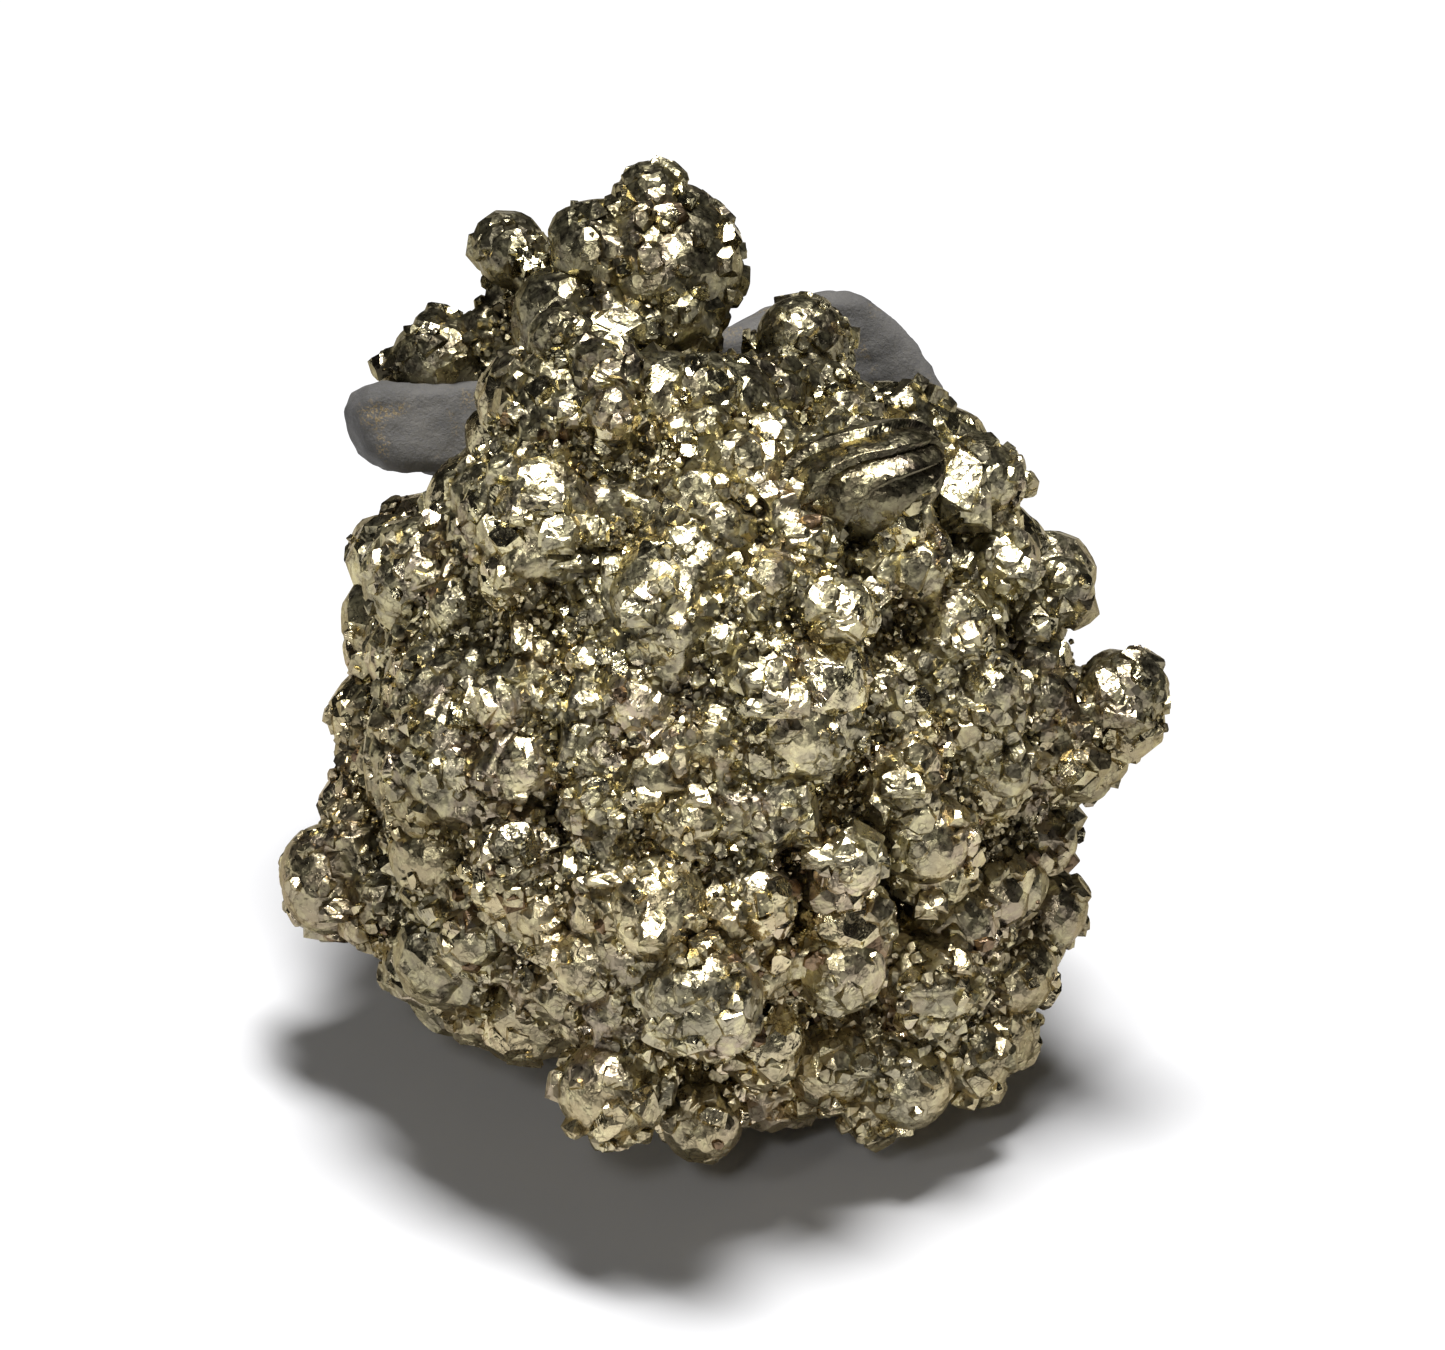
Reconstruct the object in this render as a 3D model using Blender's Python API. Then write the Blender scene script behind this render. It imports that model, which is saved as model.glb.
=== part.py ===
"""Pyrite specimen: a fist of rounded, flat-faced pyrite lumps grown together round a slab of grey host rock.

Two pieces: pyrite_cluster, one solid of all the lumps, and grey_slab, the tabular rock that
runs through it and shows at its upper left and upper right. Metres, +Z up. The origin is
the middle of the small flat spot that the specimen rests on.
"""

import itertools
import math

import bmesh
import bpy
import numpy as np
from mathutils import Euler, Matrix, Vector

MM = 0.001

# The specimen's main face leans back, so lumps are laid out on it: across to the right,
# up the face, and out of the face. All lengths below are in millimetres.
FACE_LEAN_DEG = 30.0
FLOOR_BELOW_FACE_MIDDLE = 24.0
FLAT_SPOT_BEHIND_FACE_MIDDLE = 1.5
SEED = 11

# Facets on a lump: a lump of radius r has FEWEST_FACETS + FACETS_PER_MM * r flat faces.
FEWEST_FACETS = 9
FACETS_PER_MM = 1.7
DEEPEST_FACET = 0.86
FACET_JITTER = 0.1
UNCUT_BLOCK = 2.2

# Cores: across, up, out, then the half widths across, up and out.
CORES = [
    (-1.0, 0.0, -1.0, 16.8, 16.8, 18.4),
    (-2.0, -12.5, -1.0, 11.0, 10.5, 15.8),
    (9.5, -14.0, -3.5, 8.0, 8.8, 9.4),
    (-12.5, -4.0, 0.0, 7.0, 12.5, 9.6),
    (12.6, -3.0, -1.6, 6.8, 10.4, 9.6),
    (-6.0, 17.8, -11.5, 6.4, 5.2, 9.0),
]
CORE_FACETS = 22

# Rounded lumps by region: across, up, out and radius.
TOP_KNOB = [
    (-4.0, 22.0, -8.0, 4.5),
    (-4.0, 25.6, -8.0, 2.6),
    (-7.4, 24.0, -7.0, 2.2),
    (-1.0, 21.9, -8.0, 2.4),
    (-9.3, 19.8, -7.0, 2.5),
    (-6.2, 19.4, -4.5, 2.2),
    (-2.2, 19.8, -5.0, 2.4),
    (-10.6, 22.4, -10.0, 2.0),
    (-12.4, 23.4, -12.0, 1.7),
]
UPPER_LEFT = [
    (-17.6, 16.9, -11.5, 2.0),
    (-15.2, 17.6, -12.0, 2.3),
    (-12.8, 18.6, -12.0, 2.3),
    (-15.8, 16.6, -15.0, 2.4),
]
LEFT_BACK = [
    (-17.0, 6.1, -12.0, 3.7),
    (-17.7, 2.1, -11.4, 3.6),
    (-18.6, -3.0, -11.0, 3.3),
    (-19.3, -7.0, -8.0, 3.2),
    (-14.4, 7.2, -8.2, 3.0),
    (-17.0, 1.5, -6.5, 2.8),
    (-15.8, 4.8, -6.0, 3.0),
    (-17.6, -5.4, -4.6, 3.0),
]
LEFT_LOBE = [
    (-21.5, -11.6, -8.0, 2.9),
    (-19.6, -9.8, -5.0, 3.2),
    (-18.0, -12.9, -3.0, 3.0),
    (-16.0, -16.2, -1.2, 2.8),
    (-14.6, -15.4, 3.2, 3.5),
    (-12.5, -17.9, 0.4, 2.9),
    (-13.9, -17.4, -3.2, 2.7),
    (-10.4, -19.3, 2.5, 2.3),
]
UPPER_DOME = [
    (-8.1, 13.3, 9.5, 5.0),
    (-5.9, 16.4, 12.5, 2.1),
    (-5.9, 13.9, 14.5, 1.8),
    (-10.9, 15.4, 7.0, 2.6),
    (-4.0, 15.4, 9.0, 2.4),
    (-1.2, 12.8, 12.0, 2.6),
    (0.4, 15.2, 8.0, 2.5),
    (2.6, 12.4, 11.0, 2.3),
    (2.9, 15.4, 5.5, 2.5),
    (-10.9, 12.2, 6.0, 2.4),
    (-3.4, 11.8, 11.6, 2.6),
]
LEFT_DOME = [
    (-9.8, 8.0, 12.4, 4.6),
    (-12.3, 9.8, 9.0, 2.8),
    (-11.2, 5.0, 12.2, 2.2),
    (-7.5, 6.6, 13.6, 2.4),
    (-4.8, 9.2, 13.2, 2.7),
    (-1.3, 9.4, 13.8, 2.9),
    (-9.6, 2.6, 11.6, 2.5),
    (-13.9, 3.4, 8.0, 2.6),
    (-7.0, 2.4, 13.4, 2.5),
    (-14.6, 6.6, 5.0, 2.6),
]
CENTRE = [
    (-1.8, 6.3, 16.6, 2.4),
    (-4.6, 4.8, 15.4, 2.8),
    (-2.6, 2.8, 17.2, 2.9),
    (1.2, 4.2, 16.4, 2.3),
    (6.2, 3.4, 16.2, 2.3),
    (3.7, 4.6, 16.0, 2.1),
    (4.4, 7.0, 14.6, 2.4),
    (2.4, -0.2, 17.4, 2.9),
    (5.5, -0.1, 16.2, 2.5),
    (5.6, -3.1, 16.0, 2.6),
    (2.6, -3.9, 16.6, 2.3),
    (-3.9, -1.3, 16.0, 2.9),
    (-0.6, -3.3, 16.8, 2.5),
    (-3.4, -5.4, 16.2, 2.7),
    (0.4, -6.6, 15.4, 2.8),
    (2.9, -7.4, 15.6, 2.6),
    (-2.2, -8.4, 14.8, 2.6),
    (0.6, -9.4, 14.6, 2.5),
]
LEFT_FRONT = [
    (-14.9, -0.8, 8.4, 3.3),
    (-14.2, -5.4, 8.4, 4.4),
    (-11.2, -5.2, 12.6, 2.9),
    (-10.0, -1.0, 13.0, 2.8),
    (-6.8, -1.0, 15.0, 2.5),
    (-7.0, -4.0, 14.4, 3.0),
    (-6.0, -8.7, 15.2, 2.5),
    (-10.9, -10.8, 12.0, 3.4),
    (-15.4, -10.8, 5.6, 3.0),
    (-10.2, -13.6, 12.4, 2.0),
    (-13.2, -13.6, 7.2, 3.0),
    (-9.8, -16.6, 8.4, 2.4),
]
UPPER_RIGHT = [
    (9.8, 13.2, 3.0, 3.1),
    (12.3, 11.9, -2.0, 2.8),
    (12.8, 10.4, 4.5, 2.2),
    (14.0, 9.0, -1.0, 2.4),
    (15.3, 6.6, -2.2, 2.9),
    (6.6, 13.4, 5.5, 2.5),
    (1.4, 10.0, 13.0, 2.5),
    (14.3, 5.4, 6.6, 2.6),
    (18.4, 5.0, -4.0, 2.0),
    (16.8, 3.0, 3.0, 2.2),
    (12.3, 2.2, 9.2, 2.9),
    (9.8, 6.2, 11.6, 2.8),
    (4.4, 17.8, -9.2, 3.2),
    (5.0, 15.6, -6.4, 2.6),
]
RIGHT_KNOB = [
    (13.6, -1.4, 8.0, 3.7),
    (16.9, 0.8, 3.5, 2.4),
    (17.2, -3.6, 3.0, 3.6),
    (21.6, -1.7, 2.5, 2.9),
    (18.8, -4.2, 0.5, 3.3),
    (13.2, -6.0, 6.0, 3.0),
    (9.7, -0.9, 10.4, 2.9),
    (10.0, -6.4, 11.4, 2.4),
    (16.8, -9.6, -6.0, 2.6),
]
LOWER_FRONT = [
    (-4.2, -12.9, 14.0, 4.4),
    (-4.0, -13.0, 18.0, 1.4),
    (0.4, -13.0, 15.2, 2.8),
    (-1.2, -17.8, 16.4, 3.3),
    (-1.9, -23.4, 6.0, 2.5),
    (-8.4, -17.4, 10.4, 2.0),
    (-5.6, -22.2, 11.4, 3.3),
    (2.1, -15.6, 13.4, 2.2),
    (2.1, -22.8, 3.0, 2.2),
    (1.8, -19.6, 9.0, 2.8),
    (-5.4, -18.2, 12.0, 2.8),
]
LOWER_RIGHT = [
    (5.9, -14.6, 11.5, 3.0),
    (11.4, -9.8, 8.2, 3.0),
    (11.4, -16.4, 5.5, 3.3),
    (14.8, -11.4, 2.0, 3.0),
    (15.6, -14.2, -4.0, 3.6),
    (7.0, -20.9, 3.0, 3.7),
    (10.6, -19.9, 0.9, 3.5),
    (14.4, -19.4, -3.0, 3.2),
    (4.0, -22.4, 0.5, 2.4),
]
RIGHT_SIDE = [
    (15.0, 1.4, -7.5, 3.7),
    (14.6, -4.6, -9.0, 3.8),
    (13.8, 6.4, -8.0, 3.5),
    (14.4, -10.4, -10.5, 3.6),
    (9.6, 10.2, -9.0, 3.5),
]
TOP_SIDE = [
    (1.6, 13.6, -3.0, 3.4),
    (-3.4, 14.2, 2.0, 3.2),
    (0.2, 13.4, -9.5, 3.4),
    (5.2, 13.0, -0.5, 2.8),
    (-9.0, 14.0, -1.5, 3.4),
    (-11.2, 12.8, -4.0, 2.8),
]
BASE = [
    (-3.6, -15.8, -11.8, 5.0),
    (4.4, -16.2, -11.4, 5.0),
    (0.5, -14.8, -13.2, 6.0),
    (0.3, -18.4, -8.8, 5.2),
    (10.4, -15.0, -8.0, 4.3),
    (-10.6, -14.8, -7.4, 4.6),
]
LUMPS = (
    TOP_KNOB + UPPER_LEFT + LEFT_BACK + LEFT_LOBE + UPPER_DOME + LEFT_DOME + CENTRE
    + LEFT_FRONT + UPPER_RIGHT + RIGHT_KNOB + LOWER_FRONT + LOWER_RIGHT + RIGHT_SIDE
    + TOP_SIDE + BASE
)

# Long lumps: across, up, out, the half widths, and the turn in degrees on the leaning face.
LONG_LUMPS = [
    (7.2, 10.6, 12.0, 4.9, 3.2, 3.4, -8.0),
    (14.6, 8.6, 1.0, 1.9, 3.4, 2.4, -24.0),
    (-15.2, 17.6, -13.0, 4.2, 1.9, 3.2, 22.0),
]

# Single crystals, near-cubes with cut corners: across, up, out, half width, then the turns
# in degrees about the across, up and out directions. A corner is cut at a share of its reach.
CRYSTALS = [
    (12.7, 10.5, 6.4, 2.1, 24.0, -18.0, 12.0),
    (6.2, -10.6, 14.6, 1.9, 30.0, 20.0, 8.0),
    (10.6, -3.8, 11.2, 1.7, 12.0, -24.0, 32.0),
    (10.2, -6.4, 11.6, 1.7, 20.0, 16.0, 5.0),
    (-16.4, 6.6, -9.0, 2.4, 10.0, -12.0, 8.0),
    (-10.0, 1.2, 13.2, 1.4, 30.0, 25.0, 40.0),
    (-8.6, 3.4, 13.6, 1.2, 42.0, -20.0, 10.0),
    (-2.0, -9.0, 16.8, 1.4, 22.0, 14.0, 36.0),
    (3.4, 9.4, 14.2, 1.5, 35.0, 10.0, 18.0),
    (18.0, 3.2, 1.8, 1.4, 20.0, -30.0, 22.0),
    (-3.4, 8.2, 15.4, 1.3, 28.0, 34.0, 12.0),
    (8.0, -13.0, 12.4, 1.5, 36.0, -15.0, 28.0),
]
DEEPEST_CORNER_CUT = 0.68
SHALLOWEST_CORNER_CUT = 0.83

# The back is covered by lumps set in a spiral over the rear of the first core. Each is sunk in
# it by a share of its radius, and BACK_STARTS is where the rear starts, 0 at the core's widest.
BACK_LUMPS = 38
BACK_SMALLEST = 3.4
BACK_LARGEST = 5.2
BACK_SINK = 0.5
BACK_STARTS = -0.25

# Grey slab: its outline on the leaning face, its thickness and how it is turned.
SLAB_OUTLINE = [
    (-21.2, 15.6),
    (-20.9, 13.2),
    (-19.8, 11.5),
    (-15.4, 10.7),
    (-6.0, 10.6),
    (6.0, 11.6),
    (14.0, 13.4),
    (13.6, 15.8),
    (11.6, 18.8),
    (9.8, 20.8),
    (8.2, 21.8),
    (6.6, 21.6),
    (0.0, 19.2),
    (-11.0, 16.9),
    (-20.0, 16.2),
]
SLAB_THICKNESS = 4.6
SLAB_FRONT_AT_MIDDLE = -14.0
SLAB_TURN_DEG = 18.0
SLAB_EDGE_ROUND = 0.7
SLOT_GAP = 0.3
FLOOR_CUT_SIZE = 80.0

# Surface: colour, roughness and how metallic it is.
PYRITE_SURFACE = ((0.42, 0.36, 0.24, 1.0), 0.3, 1.0)
SLAB_SURFACE = ((0.12, 0.12, 0.125, 1.0), 0.8, 0.0)


def face_to_world():
    """The matrix from the leaning face's millimetres (across, up, out) to metres in the world."""
    lean = math.radians(FACE_LEAN_DEG)
    across = Vector((1.0, 0.0, 0.0))
    up = Vector((0.0, math.sin(lean), math.cos(lean)))
    out = Vector((0.0, -math.cos(lean), math.sin(lean)))
    turn = Matrix((across, up, out)).transposed().to_4x4()
    shift = Vector((0.0, -FLAT_SPOT_BEHIND_FACE_MIDDLE, FLOOR_BELOW_FACE_MIDDLE))
    return Matrix.Scale(MM, 4) @ Matrix.Translation(shift) @ turn


def clear_scene():
    for old in list(bpy.data.objects):
        bpy.data.objects.remove(old, do_unlink=True)


def material(name, colour, roughness, metallic):
    made = bpy.data.materials.new(name)
    made.use_nodes = True
    shader = made.node_tree.nodes["Principled BSDF"]
    shader.inputs["Base Color"].default_value = colour
    shader.inputs["Roughness"].default_value = roughness
    shader.inputs["Metallic"].default_value = metallic
    return made


def spread_directions(count, rng):
    """Unit vectors spread evenly over a ball by the golden angle, each nudged at random."""
    steps = np.arange(count) + 0.5
    height = 1.0 - 2.0 * steps / count
    turn = steps * math.pi * (3.0 - math.sqrt(5.0)) + rng.uniform(0, 2 * math.pi)
    ring = np.sqrt(1.0 - height**2)
    directions = np.stack([ring * np.cos(turn), ring * np.sin(turn), height], axis=1)
    directions += rng.normal(0.0, FACET_JITTER, directions.shape)
    return directions / np.linalg.norm(directions, axis=1, keepdims=True)


def cut_flat(mesh, point, normal):
    """Cuts off what lies past the plane and closes the cut with one flat face."""
    parts = mesh.verts[:] + mesh.edges[:] + mesh.faces[:]
    cut = bmesh.ops.bisect_plane(
        mesh, geom=parts, plane_co=point, plane_no=normal, clear_outer=True
    )
    rim = [e for e in cut["geom_cut"] if isinstance(e, bmesh.types.BMEdge)]
    if rim:
        bmesh.ops.contextual_create(mesh, geom=rim)


def faceted_ball(half_widths, facets, rng):
    """A block cut by planes all round, into a crystal-faced ball with these half widths."""
    mesh = bmesh.new()
    bmesh.ops.create_cube(mesh, size=UNCUT_BLOCK)
    spin = Matrix(np.linalg.qr(rng.normal(size=(3, 3)))[0].tolist())
    for direction in spread_directions(facets, rng):
        normal = spin @ Vector(direction)
        cut_flat(mesh, normal * rng.uniform(DEEPEST_FACET, 1.0), normal)
    bmesh.ops.scale(mesh, vec=Vector(half_widths), verts=mesh.verts[:])
    bmesh.ops.recalc_face_normals(mesh, faces=mesh.faces[:])
    return mesh


def add_object(name, mesh, place, collection):
    """Puts the mesh in the scene, with its place in its vertices."""
    mesh.transform(place)
    data = bpy.data.meshes.new(name)
    mesh.to_mesh(data)
    mesh.free()
    made = bpy.data.objects.new(name, data)
    collection.objects.link(made)
    return made


def helper(made):
    """Marks an object as a cutter or a guide, which is no piece of the specimen."""
    made.hide_render = True
    made.display_type = "WIRE"
    return made


def lump_facets(radius):
    return int(FEWEST_FACETS + FACETS_PER_MM * radius)


def back_lumps(rng):
    """Lumps on the rear of the first core, from a golden-angle spiral over its whole skin."""
    across, up, out, wide, tall, deep = CORES[0]
    found = []
    for direction in spread_directions(2 * BACK_LUMPS, rng):
        if direction[2] < BACK_STARTS:
            radius = rng.uniform(BACK_SMALLEST, BACK_LARGEST)
            inset = 1.0 - BACK_SINK * radius / deep
            x, y, z = direction * (wide, tall, deep) * inset
            found.append((across + x, up + y, out + z, radius))
    return found


def grown(outline, gap):
    """The outline with each of its straight sides moved out by the gap."""
    count = len(outline)
    lines = []
    for i in range(count):
        start, end = Vector(outline[i]), Vector(outline[(i + 1) % count])
        along = (end - start).normalized()
        lines.append((start + Vector((along.y, -along.x)) * gap, along))
    corners = []
    for i in range(count):
        (p, u), (q, v) = lines[i - 1], lines[i]
        corners.append(p + u * ((q - p).cross(v) / u.cross(v)))
    return corners


def slab_mesh(gap):
    """The slab, or with a gap the room it takes in the pyrite: the outline drawn out and rounded."""
    mesh = bmesh.new()
    corners = grown(SLAB_OUTLINE, gap)
    front = [mesh.verts.new((x, y, gap)) for x, y in corners]
    face = mesh.faces.new(front)
    drawn = bmesh.ops.extrude_face_region(mesh, geom=[face])
    moved = [v for v in drawn["geom"] if isinstance(v, bmesh.types.BMVert)]
    bmesh.ops.translate(mesh, vec=(0, 0, -SLAB_THICKNESS - 2 * gap), verts=moved)
    bmesh.ops.recalc_face_normals(mesh, faces=mesh.faces[:])
    bmesh.ops.bevel(
        mesh, geom=mesh.edges[:], offset=SLAB_EDGE_ROUND, segments=1, affect="EDGES"
    )
    return mesh


def slab_place(to_world):
    turn = Matrix.Rotation(math.radians(SLAB_TURN_DEG), 4, "Y")
    return to_world @ Matrix.Translation((0, 0, SLAB_FRONT_AT_MIDDLE)) @ turn


def grey_slab(to_world, scene_collection):
    slab = add_object("grey_slab", slab_mesh(0.0), slab_place(to_world), scene_collection)
    slab.data.materials.append(material("grey_rock", *SLAB_SURFACE))


def floor_cutter(collection):
    """A block whose top is the resting plane, z = 0."""
    mesh = bmesh.new()
    bmesh.ops.create_cube(mesh, size=FLOOR_CUT_SIZE * MM)
    sink = Matrix.Translation((0, 0, -FLOOR_CUT_SIZE * MM / 2))
    return helper(add_object("floor_cutter", mesh, sink, collection))


def boolean(made, name, operation, other=None, group=None):
    cut = made.modifiers.new(name, "BOOLEAN")
    cut.operation = operation
    cut.solver = "EXACT"
    if group:
        cut.operand_type = "COLLECTION"
        cut.collection = group
    else:
        cut.object = other


def linked_faces(mesh):
    """The mesh's faces in groups, each group a skin of its own."""
    left = set(mesh.faces)
    skins = []
    while left:
        edge_of_growth = [left.pop()]
        skin = []
        while edge_of_growth:
            face = edge_of_growth.pop()
            skin.append(face)
            near = {f for e in face.edges for f in e.link_faces} & left
            left -= near
            edge_of_growth.extend(near)
        skins.append(skin)
    return skins


def keep_outer_skin(body):
    """Fixes the joins and cuts in the mesh, and fills the gaps that lumps sealed between them."""
    mesh = bmesh.new()
    mesh.from_mesh(body.evaluated_get(bpy.context.evaluated_depsgraph_get()).to_mesh())
    inner = sorted(linked_faces(mesh), key=len)[:-1]
    bmesh.ops.delete(mesh, geom=list(itertools.chain(*inner)), context="FACES")
    mesh.to_mesh(body.data)
    mesh.free()
    body.modifiers.clear()


def crystal(half_width, turns, rng):
    """A near-cube: a block with its corners cut flat, at slightly different depths."""
    mesh = bmesh.new()
    bmesh.ops.create_cube(mesh, size=2 * half_width)
    for corner in itertools.product((-1, 1), repeat=3):
        normal = Vector(corner).normalized()
        share = rng.uniform(DEEPEST_CORNER_CUT, SHALLOWEST_CORNER_CUT)
        cut_flat(mesh, normal * half_width * math.sqrt(3) * share, normal)
    turn = Euler([math.radians(angle) for angle in turns]).to_matrix()
    bmesh.ops.rotate(mesh, matrix=turn, verts=mesh.verts[:])
    bmesh.ops.recalc_face_normals(mesh, faces=mesh.faces[:])
    return mesh


def growths(rng):
    """Every core, lump and crystal but the first core, as (name, mesh, place on the face)."""
    for number, (across, up, out, *half_widths) in enumerate(CORES[1:], 1):
        yield f"core_{number}", faceted_ball(half_widths, CORE_FACETS, rng), (across, up, out)
    for number, (across, up, out, radius) in enumerate(LUMPS + back_lumps(rng), 1):
        ball = faceted_ball((radius,) * 3, lump_facets(radius), rng)
        yield f"lump_{number}", ball, (across, up, out)
    for number, (across, up, out, wide, tall, deep, turn) in enumerate(LONG_LUMPS, 1):
        ball = faceted_ball((wide, tall, deep), lump_facets(wide), rng)
        spin = Matrix.Rotation(math.radians(turn), 3, "Z")
        bmesh.ops.rotate(ball, matrix=spin, verts=ball.verts[:])
        yield f"long_lump_{number}", ball, (across, up, out)
    for number, (across, up, out, half_width, *turns) in enumerate(CRYSTALS, 1):
        yield f"crystal_{number}", crystal(half_width, turns, rng), (across, up, out)


def pyrite_cluster(to_world, scene_collection):
    """All cores, lumps and crystals joined in one solid, slotted for the slab and cut flat below."""
    rng = np.random.default_rng(SEED)
    cutters = bpy.data.collections.new("cutters")
    joined = bpy.data.collections.new("joined_lumps")
    for group in (cutters, joined):
        scene_collection.children.link(group)

    across, up, out, *half_widths = CORES[0]
    first = faceted_ball(half_widths, CORE_FACETS, rng)
    place = to_world @ Matrix.Translation((across, up, out))
    body = add_object("pyrite_cluster", first, place, scene_collection)
    for name, mesh, spot in growths(rng):
        helper(add_object(name, mesh, to_world @ Matrix.Translation(spot), joined))

    room = add_object("slab_room", slab_mesh(SLOT_GAP), slab_place(to_world), cutters)
    boolean(body, "join_lumps", "UNION", group=joined)
    boolean(body, "slot_for_slab", "DIFFERENCE", other=helper(room))
    boolean(body, "flat_spot", "DIFFERENCE", other=floor_cutter(cutters))
    keep_outer_skin(body)
    body.data.materials.append(material("pyrite", *PYRITE_SURFACE))


def main():
    clear_scene()
    scene_collection = bpy.context.scene.collection
    to_world = face_to_world()
    pyrite_cluster(to_world, scene_collection)
    grey_slab(to_world, scene_collection)


main()
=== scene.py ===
"""Pyrite specimen: rounded lumps of brassy pyrite clad in small crystals, grown round grey rock."""

import math

import bmesh
import bpy
import numpy as np
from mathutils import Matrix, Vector
from mathutils.bvhtree import BVHTree


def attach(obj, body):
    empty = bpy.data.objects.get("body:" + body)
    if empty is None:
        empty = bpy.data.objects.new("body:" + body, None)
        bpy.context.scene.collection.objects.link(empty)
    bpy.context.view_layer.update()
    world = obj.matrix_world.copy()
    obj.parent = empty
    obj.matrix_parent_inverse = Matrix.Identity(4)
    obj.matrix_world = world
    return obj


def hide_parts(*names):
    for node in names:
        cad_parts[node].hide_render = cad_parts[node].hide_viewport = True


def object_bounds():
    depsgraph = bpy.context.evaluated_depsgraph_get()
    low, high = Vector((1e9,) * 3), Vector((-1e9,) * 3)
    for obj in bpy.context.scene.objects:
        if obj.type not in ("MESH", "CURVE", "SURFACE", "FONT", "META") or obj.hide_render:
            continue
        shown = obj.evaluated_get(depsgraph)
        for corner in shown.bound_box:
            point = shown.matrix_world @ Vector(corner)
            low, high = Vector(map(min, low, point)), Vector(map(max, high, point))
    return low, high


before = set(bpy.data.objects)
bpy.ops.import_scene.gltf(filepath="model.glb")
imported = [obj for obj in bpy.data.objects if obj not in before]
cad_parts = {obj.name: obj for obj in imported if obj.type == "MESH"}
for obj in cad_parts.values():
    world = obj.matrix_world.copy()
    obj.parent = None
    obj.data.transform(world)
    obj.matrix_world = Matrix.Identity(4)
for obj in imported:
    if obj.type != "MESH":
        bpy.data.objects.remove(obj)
cad_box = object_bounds()

# The pyrite mass: iron sulphide grown as rounded lumps that run into one another. Its own skin
# shows as crinkled, stepped metal on the swells and as creases between the crystals, dark from
# their depth and from painted shade.
MM = 0.001
SKIN_GRAIN = 0.38 * MM
SKIN_ROUNDING = 5
HOLLOW_ROUNDING = 4
SKIN_SINK = 0.45 * MM
CREASE_SINK = 0.10 * MM
DEEPEST_CREASE = 0.8
CREASE_SHARE = 0.8
LUMP_SMOOTHING = 130
HOLLOW_AT = 1.1
SKIN_RIPPLE = 0.06 * MM
SKIN_RIPPLE_LENGTH = 1.6 * MM
RESTING_BAND = 0.35 * MM
DRUSY_FROM, DRUSY_OVER = 0.38, 0.3
rng = np.random.default_rng(4)


def even_skin(node, grain):
    """Points and quads of an even skin over the node: its triangles merged, then remeshed."""
    mesh = node.data.copy()
    merged = bmesh.new()
    merged.from_mesh(mesh)
    bmesh.ops.remove_doubles(merged, verts=merged.verts[:], dist=0.001 * MM)
    merged.to_mesh(mesh)
    merged.free()
    shell = bpy.data.objects.new("shell", mesh)
    bpy.context.scene.collection.objects.link(shell)
    remesh = shell.modifiers.new("even", "REMESH")
    remesh.mode = "VOXEL"
    remesh.voxel_size = grain
    skin = shell.evaluated_get(bpy.context.evaluated_depsgraph_get()).to_mesh()
    points = np.empty(len(skin.vertices) * 3)
    skin.vertices.foreach_get("co", points)
    quads = np.empty(len(skin.loops), dtype=np.int32)
    skin.loops.foreach_get("vertex_index", quads)
    bpy.data.objects.remove(shell, do_unlink=True)
    return points.reshape(-1, 3), quads.reshape(-1, 4)


def smoothed(points, quads, rounds, share=0.5):
    """The points after each moves a share of the way to its neighbours' mean, round after round."""
    start = quads.ravel()
    end = np.roll(quads, -1, axis=1).ravel()
    count = np.bincount(start, minlength=len(points)) + np.bincount(end, minlength=len(points))
    for _ in range(rounds):
        total = np.empty_like(points)
        for axis in range(points.shape[1]):
            total[:, axis] = np.bincount(start, points[end, axis], len(points))
            total[:, axis] += np.bincount(end, points[start, axis], len(points))
        points = points + share * (total / count[:, None] - points)
    return points


def unit(vectors):
    """The vectors brought to a length of one."""
    return vectors / np.linalg.norm(vectors, axis=-1, keepdims=True)


def point_normals(points, quads):
    """Unit normals: the cross product of each quad's diagonals, summed at its corners."""
    corner = points[quads]
    cross = np.cross(corner[:, 2] - corner[:, 0], corner[:, 3] - corner[:, 1])
    total = np.stack(
        [np.bincount(quads.ravel(), np.repeat(cross[:, axis], 4), len(points)) for axis in range(3)],
        axis=1,
    )
    return unit(total)


def ripples(points, length, waves=20):
    """Smooth noise about zero at the points: a sum of sine waves in random directions."""
    pull = unit(rng.normal(size=(waves, 3))) * 2 * math.pi / length
    pull *= rng.uniform(0.6, 1.5, (waves, 1))
    phase = rng.uniform(0, 2 * math.pi, waves)
    return np.sin(points @ pull.T + phase).sum(axis=1) * math.sqrt(2 / waves)


def add_piece(name, points, corners, sizes, smooth, **values):
    """An object of faces that take their corners in turn, with a value at each point by name."""
    mesh = bpy.data.meshes.new(name)
    mesh.vertices.add(len(points))
    mesh.vertices.foreach_set("co", points.ravel())
    mesh.loops.add(len(corners))
    mesh.loops.foreach_set("vertex_index", corners.astype(np.int32))
    mesh.polygons.add(len(sizes))
    starts = np.concatenate([[0], np.cumsum(sizes)[:-1]]).astype(np.int32)
    mesh.polygons.foreach_set("loop_start", starts)
    mesh.update(calc_edges=True)
    for value_name, value in values.items():
        kind, field = ("FLOAT", "value") if value.ndim == 1 else ("FLOAT_VECTOR", "vector")
        layer = mesh.attributes.new(value_name, kind, "POINT")
        layer.data.foreach_set(field, value.ravel())
    mesh.polygons.foreach_set("use_smooth", np.full(len(sizes), smooth))
    piece = bpy.data.objects.new(name, mesh)
    bpy.context.scene.collection.objects.link(piece)
    return piece


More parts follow.
